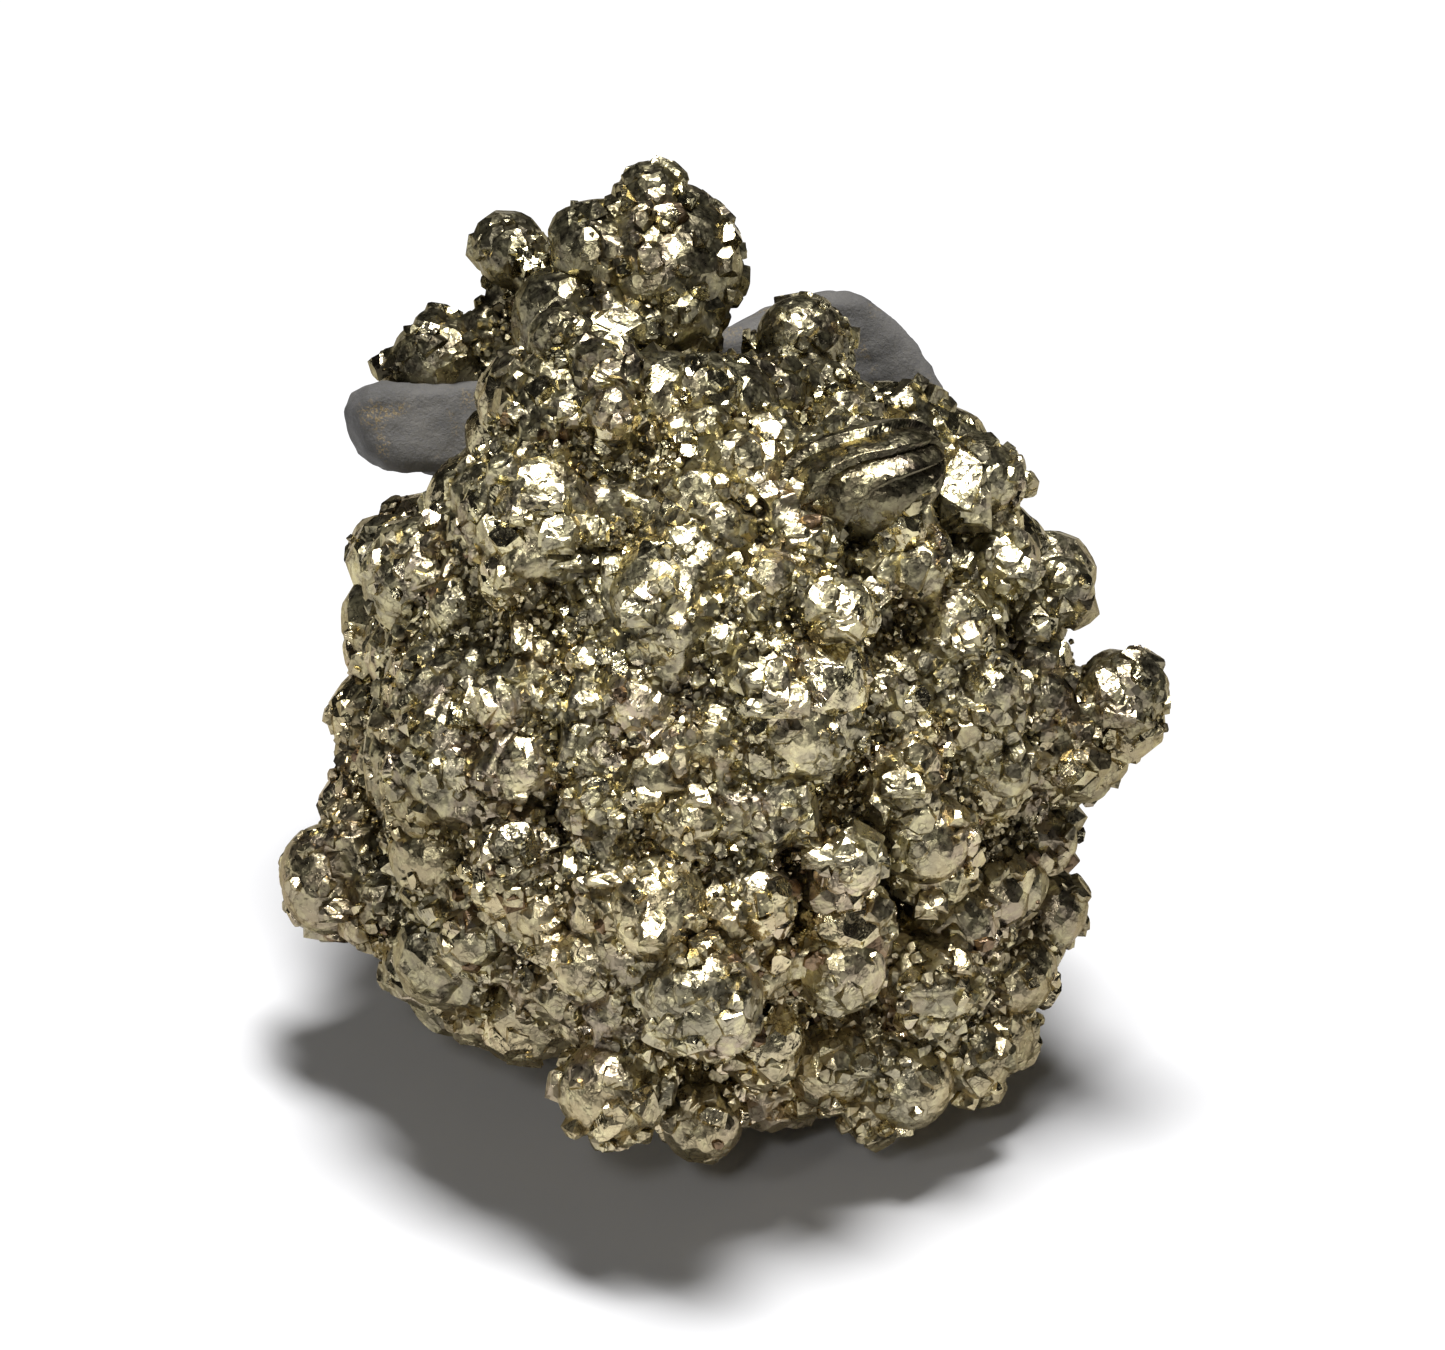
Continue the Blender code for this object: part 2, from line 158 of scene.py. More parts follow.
def add_node(tree, kind, **inputs):
    """A node of this kind: a number or colour sets an input, and a socket is linked to it."""
    node = tree.nodes.new("ShaderNode" + kind)
    for name, value in inputs.items():
        socket = node.inputs[int(name[1:])] if name[0] == "_" else node.inputs[name.replace("_", " ")]
        if isinstance(value, bpy.types.NodeSocket):
            tree.links.new(value, socket)
        else:
            socket.default_value = value
    return node


def maths(tree, operation, *values):
    """The result of one step of arithmetic on sockets and numbers."""
    node = add_node(tree, "Math", **{f"_{i}": value for i, value in enumerate(values)})
    node.operation = operation
    return node.outputs[0]


def vector_maths(tree, operation, *values):
    """The result of one step of arithmetic on vectors."""
    node = add_node(tree, "VectorMath", **{f"_{i}": value for i, value in enumerate(values)})
    node.operation = operation
    return node.outputs[0]


def over_range(tree, value, low, high, to_low=0.0, to_high=1.0):
    """The value carried from one range to another and held within it."""
    node = add_node(tree, "MapRange", _0=value, _1=low, _2=high, _3=to_low, _4=to_high)
    return node.outputs[0]


def blend_colours(tree, share, first, second, way="MIX"):
    """The first colour turned into the second by this share."""
    node = tree.nodes.new("ShaderNodeMix")
    node.data_type = "RGBA"
    node.blend_type = way
    for index, value in ((0, share), (6, first), (7, second)):
        if isinstance(value, bpy.types.NodeSocket):
            tree.links.new(value, node.inputs[index])
        else:
            node.inputs[index].default_value = value
    return node.outputs[2]


def noise(tree, at, scale, detail=2.0, roughness=0.5, distortion=0.0):
    """Cloudy noise from 0 to 1, with this many lumps to a millimetre."""
    node = add_node(
        tree,
        "TexNoise",
        Vector=at,
        Scale=scale,
        Detail=detail,
        Roughness=roughness,
        Distortion=distortion,
    )
    return node.outputs["Fac"]


def bump(tree, height, distance, normal=None):
    """The normal, tipped as if the surface stood out by this height times the distance."""
    node = add_node(tree, "Bump", Height=height, Distance=distance, Strength=1.0)
    if normal is not None:
        tree.links.new(normal, node.inputs["Normal"])
    return node.outputs["Normal"]


def read_attribute(tree, name):
    """The outputs of a value that the mesh carries."""
    node = tree.nodes.new("ShaderNodeAttribute")
    node.attribute_name = name
    return node.outputs


def position_in_mm(tree):
    """The place on the piece, in millimetres."""
    place = tree.nodes.new("ShaderNodeTexCoord").outputs["Object"]
    return add_node(tree, "Mapping", Vector=place, Scale=(1 / MM, 1 / MM, 1 / MM)).outputs[0]


OLIVE_GREY = (0.460, 0.412, 0.285, 1)
BRONZE = (0.570, 0.475, 0.290, 1)
PALE_GOLD = (0.890, 0.805, 0.475, 1)
ROSY_TAN = (0.600, 0.485, 0.365, 1)
COPPER_TARNISH = (0.300, 0.180, 0.110, 1)
EDGE_TINT = (0.66, 0.60, 0.46, 1)
CRACK_BROWN = (0.085, 0.066, 0.040, 1)
# Where a colour starts and is full, on noise from 0 to 1, and the most of it that shows.
BRONZE_FROM = (0.42, 0.60)
ROSY_FROM, ROSY_SHARE = (0.52, 0.66), 0.75
GOLD_FROM, GOLD_SHARE = (0.45, 0.66), 0.85
TARNISH_FROM, TARNISH_SHARE = (0.45, 0.5), 0.8
SPLIT_FROM, SPLIT_SHARE = (0.44, 0.60), 0.75
# The hollow values where the painted shade in the hollows starts and is full.
HOLLOW_SHADE_FROM = (0.45, 0.95)
# How bright the metal is: from dull to clean crystals, where the knobs' tone is painted light,
# with painted shade in the hollows, painted light low on the face, and painted shade up the face
# and towards its two sides, where it turns from the light. Places are in millimetres.
DULL_AND_SHADED_VALUE, CLEAN_AND_LIT_VALUE = 0.26, 0.94
HOLLOW_SHADE_VALUE = 0.72
UP_THE_FACE = (0.0, 0.5, 0.866)
TOP_OF_FACE = (31.0, 38.0)
LOW_VALUE, TOP_PAINTED_SHADE = 1.15, 0.60
RIGHT_SIDE, RIGHT_PAINTED_SHADE = (11.0, 21.0), 0.62
LEFT_SIDE, LEFT_PAINTED_SHADE = (-20.0, -8.0), 0.76
# Shifts of colour from the foot to the top: more bronze low down, more olive and more gold flecks
# high up.
FOOT_TO_TOP = (5.0, 42.0)
OLIVE_HIGH_UP, GOLD_HIGH_UP = 0.07, 0.05
TARNISHED_TONE = 0.05
SHINY_TONE = 0.78
# Patterns, each by how many of its lumps or cells there are to a millimetre.
PATCHES, ROSY_PATCHES, FLECKS, SPLITS, BENDS = 0.16, 0.2, 1.1, 0.9, 1.3
SMUDGES, STEPS, STRIPES, CRINKLES = 2.6, 0.55, 1.6, 2.6
CRACKS = (0.7, 1.7)
CRACK_WIDTH = 0.06
# The chips of three sizes: cells to a millimetre, and the share of the full lean that they take.
CHIPS = ((0.7, 0.75), (1.7, 1.0), (3.4, 0.42))
CELL_BEND = 0.9
ROUGHNESS = (0.25, 0.44)
SHINE = 0.12
SMOOTHEST_GROUND = 0.12
STEP_HEIGHT = 0.10
STRIPE_BEND = 1.4
CRINKLE_DEPTH = 0.042 * MM
STEP_DEPTH = 0.6 * MM
STRIPE_DEPTH = 0.004 * MM
CHIP_LEAN = 0.37


def pyrite_material():
    """Brassy metal: colour in patches and by crystal, chips, growth steps, stripes, crinkles.

    It reads three values from the mesh: tone, from dull to clean, one for each crystal, though on
    the knobs it is painted light, brighter near the front middle; hollow, 0 on a swell and 1 in a
    hollow, by which the hollows are darkened with painted shade; and growth, the place in the
    crystal's own axes.
    """
    made = bpy.data.materials.new("pyrite")
    made.use_nodes = True
    tree = made.node_tree
    shader = tree.nodes["Principled BSDF"]
    at = position_in_mm(tree)
    tone = read_attribute(tree, "tone")["Fac"]
    hollow_mask = read_attribute(tree, "hollow")["Fac"]

    across_it, _, height = add_node(tree, "SeparateXYZ", Vector=at).outputs
    patches = noise(tree, at, PATCHES, 3.0)
    olive_here = over_range(tree, height, *FOOT_TO_TOP, OLIVE_HIGH_UP, -OLIVE_HIGH_UP)
    patches = maths(tree, "ADD", patches, olive_here)
    colour = blend_colours(tree, over_range(tree, patches, *BRONZE_FROM), OLIVE_GREY, BRONZE)
    rosy = noise(tree, at, ROSY_PATCHES, 2.0, 0.5, 0.6)
    colour = blend_colours(tree, over_range(tree, rosy, *ROSY_FROM, 0, ROSY_SHARE), colour, ROSY_TAN)
    flecks = noise(tree, at, FLECKS, 4.0, 0.65)
    gold_here = over_range(tree, height, *FOOT_TO_TOP, -GOLD_HIGH_UP, GOLD_HIGH_UP)
    flecks = maths(tree, "ADD", flecks, gold_here)
    golden = over_range(tree, flecks, *GOLD_FROM, 0, GOLD_SHARE)
    colour = blend_colours(tree, golden, colour, PALE_GOLD)
    tarnished = maths(tree, "COMPARE", tone, TARNISHED_TONE, 0.015)
    tarnish_here = over_range(tree, patches, *TARNISH_FROM, 0, TARNISH_SHARE)
    tarnished = maths(tree, "MULTIPLY", tarnished, tarnish_here)
    colour = blend_colours(tree, tarnished, colour, COPPER_TARNISH)
    value = over_range(tree, tone, -1.0, 1.0, DULL_AND_SHADED_VALUE, CLEAN_AND_LIT_VALUE)
    climb = add_node(tree, "VectorMath", _0=at, _1=UP_THE_FACE)
    climb.operation = "DOT_PRODUCT"
    # Painted shade and light: darker in the hollows, lighter low on the face, darker towards its top
    # and its two sides.
    for shade in (
        over_range(tree, hollow_mask, *HOLLOW_SHADE_FROM, 1.0, HOLLOW_SHADE_VALUE),
        over_range(tree, climb.outputs["Value"], *TOP_OF_FACE, LOW_VALUE, TOP_PAINTED_SHADE),
        over_range(tree, across_it, *RIGHT_SIDE, 1.0, RIGHT_PAINTED_SHADE),
        over_range(tree, across_it, *LEFT_SIDE, LEFT_PAINTED_SHADE, 1.0),
    ):
        value = maths(tree, "MULTIPLY", value, shade)
    grey = add_node(tree, "CombineColor", _0=value, _1=value, _2=value).outputs[0]
    colour = blend_colours(tree, 1.0, colour, grey, "MULTIPLY")
    bends = add_node(tree, "TexNoise", Vector=at, Scale=BENDS, Detail=2.0).outputs["Color"]
    bends = vector_maths(tree, "MULTIPLY", bends, (CELL_BEND, CELL_BEND, CELL_BEND))
    cells_at = vector_maths(tree, "ADD", at, bends)
    split = over_range(tree, noise(tree, at, SPLITS, 2.0), *SPLIT_FROM, 0.0, SPLIT_SHARE)
    for scale in CRACKS:
        cracks = add_node(tree, "TexVoronoi", Vector=cells_at, Scale=scale, Randomness=1.0)
        cracks.feature = "DISTANCE_TO_EDGE"
        open_here = over_range(tree, cracks.outputs["Distance"], 0.0, CRACK_WIDTH * scale, 1.0, 0.0)
        open_here = maths(tree, "MULTIPLY", open_here, split)
        colour = blend_colours(tree, open_here, colour, CRACK_BROWN)
    tree.links.new(colour, shader.inputs["Base Color"])

    shader.inputs["Metallic"].default_value = 1.0
    shader.inputs["Specular Tint"].default_value = EDGE_TINT
    roughness = over_range(tree, noise(tree, at, SMUDGES, 3.0, 0.6), 0.35, 0.7, *ROUGHNESS)
    shine = over_range(tree, tone, SHINY_TONE, 0.80, 0.0, SHINE)
    roughness = maths(tree, "SUBTRACT", roughness, shine)
    tree.links.new(roughness, shader.inputs["Roughness"])

    normal = tree.nodes.new("ShaderNodeNewGeometry").outputs["Normal"]
    rough_ground = over_range(tree, hollow_mask, -1.0, 0.50, SMOOTHEST_GROUND, 1.0)
    rough_ground = add_node(
        tree, "CombineXYZ", _0=rough_ground, _1=rough_ground, _2=rough_ground
    ).outputs[0]
    for scale, share in CHIPS:
        lean = share * CHIP_LEAN
        chips = add_node(tree, "TexVoronoi", Vector=cells_at, Scale=scale, Randomness=1.0)
        lean_by = vector_maths(tree, "ADD", chips.outputs["Color"], (-0.5, -0.5, -0.5))
        lean_by = vector_maths(tree, "MULTIPLY", lean_by, (lean, lean, lean))
        lean_by = vector_maths(tree, "MULTIPLY", lean_by, rough_ground)
        normal = vector_maths(tree, "ADD", normal, lean_by)
    normal = vector_maths(tree, "NORMALIZE", normal)
    steps = maths(tree, "SNAP", noise(tree, at, STEPS, 2.0, 0.5, 1.2), STEP_HEIGHT)
    normal = bump(tree, steps, STEP_DEPTH, normal)
    growth = read_attribute(tree, "growth")["Vector"]
    stripes = add_node(
        tree, "TexWave", Vector=growth, Scale=STRIPES, Distortion=STRIPE_BEND, Detail=1.0
    )
    striped = over_range(tree, tone, 0.45, 0.55)
    stripes = maths(tree, "MULTIPLY", stripes.outputs["Fac"], striped)
    normal = bump(tree, stripes, STRIPE_DEPTH, normal)
    normal = bump(tree, noise(tree, at, CRINKLES, 1.5, 0.5, 0.8), CRINKLE_DEPTH, normal)
    tree.links.new(normal, shader.inputs["Normal"])
    return made


def drusy(hollow_here):
    """How much of the surface small sharp crystals take: none on a swell, all in a hollow."""
    return np.clip((hollow_here - DRUSY_FROM) / DRUSY_OVER, 0.0, 1.0)


raw_points, skin_quads = even_skin(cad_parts["pyrite_cluster"], SKIN_GRAIN)
round_points = smoothed(raw_points, skin_quads, SKIN_ROUNDING)
broad_points = smoothed(raw_points, skin_quads, LUMP_SMOOTHING)
skin_normals = point_normals(round_points, skin_quads)
bulge = np.einsum("ij,ij->i", round_points - broad_points, skin_normals) / MM
# The hollow value, 0 on a swell and 1 in a crease, leans the chips more and darkens the metal with
# painted shade.
hollow = np.clip(0.5 - bulge / HOLLOW_AT, 0.0, 1.0)
hollow = smoothed(hollow[:, None], skin_quads, HOLLOW_ROUNDING)[:, 0]
sink = SKIN_SINK + CREASE_SINK * drusy(hollow)
sink = sink + SKIN_RIPPLE * ripples(round_points, SKIN_RIPPLE_LENGTH)
sink += CREASE_SHARE * MM * np.minimum(bulge + DEEPEST_CREASE, 0.0)
skin_points = round_points - skin_normals * sink[:, None]
skin_points[raw_points[:, 2] < RESTING_BAND, 2] = 0.0
skin_points[:, 2] = np.maximum(skin_points[:, 2], 0.0)
skin = add_piece(
    "pyrite_skin",
    skin_points,
    skin_quads.ravel(),
    np.full(len(skin_quads), 4),
    True,
    hollow=hollow,
)
pyrite = pyrite_material()
skin.data.materials.append(pyrite)
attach(skin, "root")
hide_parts("pyrite_cluster")

# The knobs: round heads of pyrite, each a bundle of crystals grown from one middle, so its
# surface is a ball of flat faces that step over one another. Their places are laid out on the
# main face of the specimen, which leans back, and they stand a little out of the skin.
FACE_LEAN = math.radians(30.0)
FACE_MIDDLE = Vector((0.0, -1.5 * MM, 24.0 * MM))
ACROSS = np.array((1.0, 0.0, 0.0))
UP = np.array((0.0, math.sin(FACE_LEAN), math.cos(FACE_LEAN)))
OUT = np.array((0.0, -math.cos(FACE_LEAN), math.sin(FACE_LEAN)))
# Places on the face are columns and rows, FACE_STEP millimetres apart, and sight lines to them
# start IN_FRONT millimetres out.
FACE_STEP = 0.055
MIDDLE_COLUMN, MIDDLE_ROW = 722.5, 675
IN_FRONT = 60.0
KNOB_BUNDLE = 4
KNOB_SPREAD = 0.055
BALL_SHARE = (0.86, 0.98)
BALL_FLATTENING = (0.82, 1.0)
BALL_FACES = (80, 170, 360)
BALLS_OF_EACH = 4
BALL_FACE_LEAN = 0.9
BALL_UNEVENNESS = 2.4
LARGER_BALLS_FROM = (1.9 * MM, 2.8 * MM)
NODULE_REACH = 0.44 * MM
# Knobs within reach of this spot take a brighter tone than the rest: painted light, brighter near the
# front middle.
PAINTED_LIGHT_SPOT = (0.0, 2.0, 18.0)
PAINTED_LIGHT_REACH = 15.0 * MM
LIT_KNOB_TONE, SHADED_KNOB_TONE = 0.74, 0.35
INSIDE_BOX = 0.02 * MM
FREE_TILT = 1.0
# Each knob's column, row and radius, all in steps of the face.
NODULES = [
    (545, 515, 64), (600, 372, 34), (612, 415, 27), (660, 592, 52), (835, 614, 37),
    (800, 722, 62), (730, 640, 30), (455, 742, 64), (440, 850, 56), (528, 765, 42),
    (510, 700, 34), (545, 905, 40), (478, 932, 36), (660, 902, 56), (700, 988, 66),
    (610, 1086, 58), (700, 1115, 46), (745, 1090, 34), (780, 795, 32), (842, 862, 44),
    (922, 832, 54), (908, 762, 36), (1000, 565, 42), (948, 622, 40), (1032, 622, 30),
    (1062, 590, 38), (1128, 692, 46), (1040, 700, 38), (990, 690, 36), (995, 765, 44),
    (1075, 765, 34), (1040, 835, 46), (950, 925, 50), (840, 965, 46), (1010, 975, 50),
    (1050, 910, 44), (830, 1065, 48), (905, 1080, 54), (970, 1060, 46), (870, 1110, 36),
    (661, 266, 88), (652, 200, 44), (509, 252, 38), (799, 343, 54), (437, 352, 50),
    (425, 580, 64), (335, 880, 60),
    (740, 470, 44), (700, 400, 44), (720, 530, 36), (600, 800, 40),
    (690, 820, 36), (640, 700, 34), (770, 580, 34), (880, 690, 30), (520, 850, 34),
    (590, 960, 40), (760, 900, 40), (560, 340, 34), (640, 330, 44), (980, 480, 44),
]


def to_world(across, up, out):
    """World places of points laid out on the leaning face, in millimetres."""
    face = np.stack([across, up, out], axis=-1) * MM
    return np.array(FACE_MIDDLE) + face @ np.stack([ACROSS, UP, OUT])


def on_face(column, row):
    """Where the sight line through this spot of the face first meets the pyrite's own form."""
    at = to_world((column - MIDDLE_COLUMN) * FACE_STEP, (MIDDLE_ROW - row) * FACE_STEP, IN_FRONT)
    hit = pyrite_form.ray_cast(Vector(at), Vector(-OUT))[0]
    return None if hit is None else np.array(hit)


def cut_block(planes, size):
    """Points and faces of a block of this half size, cut flat by each (normal, distance) plane."""
    block = bmesh.new()
    bmesh.ops.create_cube(block, size=2 * size)
    for normal, distance in planes:
        normal = Vector(normal).normalized()
        parts = block.verts[:] + block.edges[:] + block.faces[:]
        cut = bmesh.ops.bisect_plane(
            block, geom=parts, plane_co=normal * distance, plane_no=normal, clear_outer=True
        )
        rim = [e for e in cut["geom_cut"] if isinstance(e, bmesh.types.BMEdge)]
        if rim:
            bmesh.ops.contextual_create(block, geom=rim)
    bmesh.ops.recalc_face_normals(block, faces=block.faces[:])
    block.verts.index_update()
    points = np.array([v.co[:] for v in block.verts])
    faces = [[v.index for v in face.verts] for face in block.faces]
    block.free()
    return points, faces


def ball_shape(faces):
    """A ball of flat faces, one unit in radius: planes spread over it at uneven depths."""
    step = np.arange(faces) + 0.5
    rise = 1 - 2 * step / faces
    turn = step * math.pi * (3 - math.sqrt(5))
    side = np.sqrt(1 - rise**2)
    normals = np.stack([side * np.cos(turn), side * np.sin(turn), rise], axis=1)
    normals += rng.normal(0, BALL_FACE_LEAN / math.sqrt(faces), normals.shape)
    uneven = rng.uniform(1 - BALL_UNEVENNESS * math.pi / faces, 1.0, faces)
    return cut_block(list(zip(normals, uneven)), 1.1)


def frames_about(normal, tilt):
    """Turns for crystals: the third axis near the normal, tipped by the tilt, and spun at random."""
    up = unit(normal + rng.normal(0, tilt, normal.shape))
    side = unit(np.cross(up, rng.normal(size=normal.shape)))
    return np.stack([side, np.cross(up, side), up], axis=2)


def grow_crystals(name, shapes, place, turn, scale, tone, hollow_here):
    """One piece of all the crystals: each takes a shape, its half widths, its turn and its place."""
    kinds = rng.integers(0, len(shapes), len(place))
    points, corners, sizes, growth, tones, hollows = [], [], [], [], [], []
    start = 0
    for kind, (shape, faces) in enumerate(shapes):
        mine = kinds == kind
        scaled = shape[None] * scale[mine][:, None]
        world = np.einsum("nij,nvj->nvi", turn[mine], scaled) + place[mine][:, None]
        points.append(world.reshape(-1, 3))
        growth.append(scaled.reshape(-1, 3) / MM)
        tones.append(np.repeat(tone[mine], len(shape)))
        hollows.append(np.repeat(hollow_here[mine], len(shape)))
        base = start + len(shape) * np.arange(mine.sum())
        corners.append((base[:, None] + np.concatenate(faces)).ravel())
        sizes.append(np.tile([len(face) for face in faces], mine.sum()))
        start += mine.sum() * len(shape)
    low, high = np.array(cad_box[0]), np.array(cad_box[1])
    piece = add_piece(
        name,
        np.clip(np.concatenate(points), low + INSIDE_BOX, high - INSIDE_BOX),
        np.concatenate(corners),
        np.concatenate(sizes),
        False,
        growth=np.concatenate(growth),
        tone=np.concatenate(tones),
        hollow=np.concatenate(hollows),
    )
    piece.data.materials.append(pyrite)
    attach(piece, "root")


painted_light_middle = to_world(*PAINTED_LIGHT_SPOT)
pyrite_form = BVHTree.FromPolygons(round_points.tolist(), skin_quads.tolist())
found = [(on_face(column, row), radius * FACE_STEP * MM) for column, row, radius in NODULES]
found = [(hit, radius) for hit, radius in found if hit is not None]
knob_radius = np.array([radius for hit, radius in found])
knob_middle = np.array([hit - OUT * (radius - NODULE_REACH) for hit, radius in found])
ball_shapes = [[ball_shape(faces) for _ in range(BALLS_OF_EACH)] for faces in BALL_FACES]
size_class = np.digitize(knob_radius, LARGER_BALLS_FROM)
for kind, shapes in enumerate(ball_shapes):
    mine = size_class == kind
    middle = np.repeat(knob_middle[mine], KNOB_BUNDLE, axis=0)
    radius = np.repeat(knob_radius[mine], KNOB_BUNDLE)
    grow_crystals(
        ("pyrite_small_knobs", "pyrite_knobs", "pyrite_domes")[kind],
        shapes,
        middle + radius[:, None] * rng.normal(0, KNOB_SPREAD, middle.shape),
        frames_about(unit(rng.normal(size=middle.shape)), FREE_TILT),
        (radius * rng.uniform(*BALL_SHARE, len(radius)))[:, None]
        * rng.uniform(*BALL_FLATTENING, middle.shape),
        # The knob's tone is painted light: brighter near the spot at the front middle.
        np.where(
            np.linalg.norm(middle - painted_light_middle, axis=1) < PAINTED_LIGHT_REACH, LIT_KNOB_TONE, SHADED_KNOB_TONE
        ),
        np.zeros(len(radius)),
    )


# The grooved lump: one larger crystal body at the upper right of the face, long and rounded,
# with growth leaves that overlap along it and leave curved grooves between them.
GROOVED_SPOT = (852, 484)
GROOVED_HALF = (5.0 * MM, 3.0 * MM, 3.6 * MM)
GROOVED_TURN = math.radians(15.0)
LEAF_COUNT = 9
LEAF_LIFT = 0.19
LEAF_SLANT = 0.9
LEAF_WAVE = 0.25
LUMP_WAVE = 0.03
LUMP_LIFT = 0.15 * MM
LUMP_TONE, LUMP_HOLLOW = -1.0, 0.45
LUMP_BALLS_ALONG = (-2.0 * MM, 0.0, 2.0 * MM)
LUMP_BALLS_RADIUS = (2.6 * MM, 3.1 * MM, 2.6 * MM)
LUMP_ROWS, LUMP_COLUMNS = 84, 168


def grooved_surface():
    """Points and faces of an egg shape whose radius climbs along each leaf and drops at its edge.

    For t from 0 to pi along and a around, the point is (A cos t, B sin t cos a, C sin t sin a)
    times 1 + lift * sin(t) * s + a wave, where s is the fraction of n * a / 2 pi + slant * cos t
    + a wave.
    """
    t = np.linspace(0, math.pi, LUMP_ROWS + 1)[1:-1, None]
    a = np.linspace(0, 2 * math.pi, LUMP_COLUMNS, endpoint=False)[None, :]
    leaf = LEAF_COUNT * a / (2 * math.pi) + LEAF_SLANT * np.cos(t) + LEAF_WAVE * np.sin(2 * a + 3 * t)
    lift = 1 + LEAF_LIFT * np.sin(t) * (leaf % 1.0) + LUMP_WAVE * np.sin(3 * t + a)
    shape = np.stack(
        np.broadcast_arrays(np.cos(t), np.sin(t) * np.cos(a), np.sin(t) * np.sin(a)), axis=2
    )
    local = (shape * lift[..., None] * GROOVED_HALF).reshape(-1, 3)
    ends = np.array([[GROOVED_HALF[0], 0, 0], [-GROOVED_HALF[0], 0, 0]])
    here = np.arange(len(local)).reshape(LUMP_ROWS - 1, LUMP_COLUMNS)
    beside = np.roll(here, -1, axis=1)
    quads = np.stack([here[:-1], here[1:], beside[1:], beside[:-1]], axis=2).reshape(-1, 4)
    first, last = np.full(LUMP_COLUMNS, len(local)), np.full(LUMP_COLUMNS, len(local) + 1)
    first_tip = np.stack([first, here[0], beside[0]], axis=1)
    last_tip = np.stack([last, beside[-1], here[-1]], axis=1)
    corners = np.concatenate([quads.ravel(), first_tip.ravel(), last_tip.ravel()])
    sizes = np.concatenate([np.full(len(quads), 4), np.full(2 * LUMP_COLUMNS, 3)])
    return np.concatenate([local, ends]), corners, sizes


lump_local, lump_corners, lump_sizes = grooved_surface()
along = ACROSS * math.cos(GROOVED_TURN) + UP * math.sin(GROOVED_TURN)
lump_axes = np.stack([along, np.cross(OUT, along), OUT])
lump_middle = on_face(*GROOVED_SPOT) - OUT * (GROOVED_HALF[2] - LUMP_LIFT)
lump_points = lump_local @ lump_axes + lump_middle
lump = add_piece(
    "pyrite_grooved_lump",
    lump_points,
    lump_corners,
    lump_sizes,
    True,
    tone=np.full(len(lump_points), LUMP_TONE),
    hollow=np.full(len(lump_points), LUMP_HOLLOW),
    growth=lump_local / MM,
)
lump.data.materials.append(pyrite)
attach(lump, "root")
leafy_knobs = len(knob_radius)
knob_middle = np.concatenate([knob_middle, lump_middle + np.outer(LUMP_BALLS_ALONG, along)])
knob_radius = np.append(knob_radius, LUMP_BALLS_RADIUS)

# The swells: smaller round heads of the same pyrite on the sides and the back, sunk in the skin
# almost to their tops. The thin wing at the upper left carries none.
SWELL_SPACING = 2.1 * MM
SWELL_RADIUS = (1.2 * MM, 3.2 * MM)
SWELL_MOST, SWELL_FALL = 0.9, 1.6
SWELL_HOLLOW = 0.4
TRIES_FOR_EACH = 4
SWELL_FLATTENING = (0.84, 1.04)
SWELL_LIFT = 0.05 * MM
FRONT_FACING = 0.45
CLEAR_OF_KNOBS = 0.3 * MM
CLEAR_OF_FLOOR = 0.9 * MM
WING_ACROSS = -14.0 * MM
WING_HEIGHT = 33.0 * MM


def spread(low_high, count, power=1.0):
    """Random sizes between a low and a high one, with more near the low one for a higher power."""
    low, high = low_high
    return low + (high - low) * rng.random(count) ** power


def off_knobs(place, margin):
    """True at places that stand further than the margin from every knob's surface."""
    reach = np.linalg.norm(place[:, None] - knob_middle[None], axis=2) - knob_radius
    return reach.min(axis=1) > margin


def places_on_skin(spacing, wanted):
    """Points, normals and hollow values, one at random in each small cube that the skin crosses."""
    corner = skin_points[skin_quads]
    area = np.linalg.norm(
        np.cross(corner[:, 2] - corner[:, 0], corner[:, 3] - corner[:, 1]), axis=1
    )
    tries = int(TRIES_FOR_EACH * area.sum() / 2 / spacing**2)
    quad = rng.choice(len(skin_quads), tries, p=area / area.sum())
    u, v = rng.random((2, tries))
    weights = np.stack([(1 - u) * (1 - v), u * (1 - v), u * v, (1 - u) * v], axis=1)
    point = np.einsum("ij,ijk->ik", weights, corner[quad])
    _, first = np.unique(np.floor(point / spacing).astype(int), axis=0, return_index=True)
    chosen = quad[first]
    normal = unit(np.einsum("ij,ijk->ik", weights[first], skin_normals[skin_quads[chosen]]))
    hollow_here = np.einsum("ij,ij->i", weights[first], hollow[skin_quads[chosen]])
    keep = rng.random(len(first)) < wanted(hollow_here)
    keep &= point[first, 2] > CLEAR_OF_FLOOR
    return point[first][keep], normal[keep], hollow_here[keep]


place, normal, hollow_here = places_on_skin(SWELL_SPACING, lambda h: SWELL_MOST - SWELL_FALL * h)
keep = off_knobs(place, CLEAR_OF_KNOBS) & (normal @ OUT < FRONT_FACING)
keep &= (place[:, 0] > WING_ACROSS) | (place[:, 2] < WING_HEIGHT)
place, normal, hollow_here = place[keep], normal[keep], hollow_here[keep]
radius = spread(SWELL_RADIUS, len(place))
grow_crystals(
    "pyrite_swells",
    ball_shapes[0],
    place - normal * (radius - SKIN_SINK - SWELL_LIFT)[:, None],
    frames_about(normal, FREE_TILT),
    radius[:, None] * rng.uniform(*SWELL_FLATTENING, (len(place), 3)),
    rng.random(len(place)),
    SWELL_HOLLOW * hollow_here,
)

